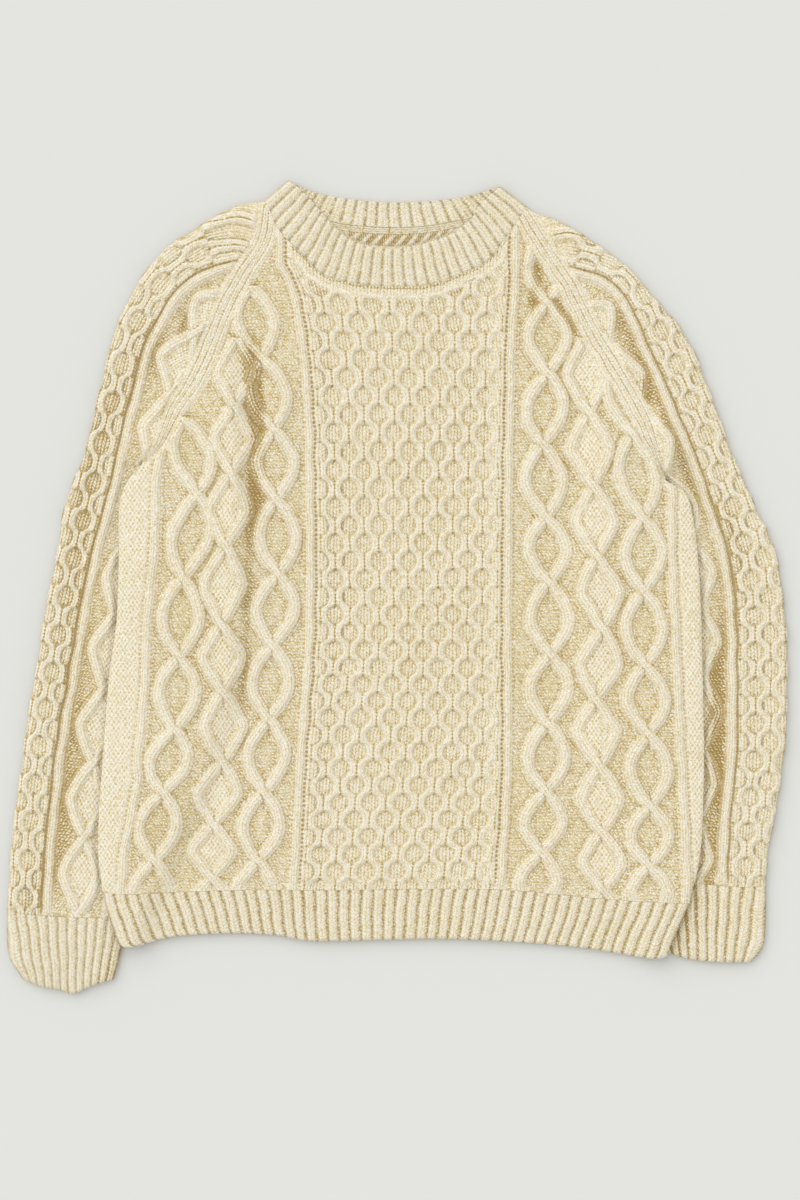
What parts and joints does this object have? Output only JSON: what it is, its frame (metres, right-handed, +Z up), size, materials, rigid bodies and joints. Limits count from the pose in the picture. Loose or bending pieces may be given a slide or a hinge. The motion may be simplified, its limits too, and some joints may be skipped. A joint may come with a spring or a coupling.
{
  "type": "cable knit sweater",
  "caption": "Cream hand-knitted crew-neck raglan sweater with cables, diamonds and honeycomb, laid flat with its front up and its sleeves bent down along the sides.",
  "frame": {"origin": "on the table under the middle of the laid-out sweater's bounding box", "axes": "+Z up from the table through the sweater's thickness, +Y from the hem towards the neck, +X towards the sleeve on the viewer's right"},
  "size_m": [0.735, 0.765, 0.0221],
  "materials": {
    "wool": "matte heather wool yarn, hand-knitted",
    "ribbing": "matte heather wool yarn, one-by-one rib"
  },
  "bodies": {
    "root": {"front": "wool", "back": "wool", "left_sleeve": "wool", "right_sleeve": "wool", "neckband": "ribbing", "front_hem_rib": "ribbing", "back_hem_rib": "ribbing", "left_cuff": "ribbing", "right_cuff": "ribbing"}
  },
  "joints": []
}
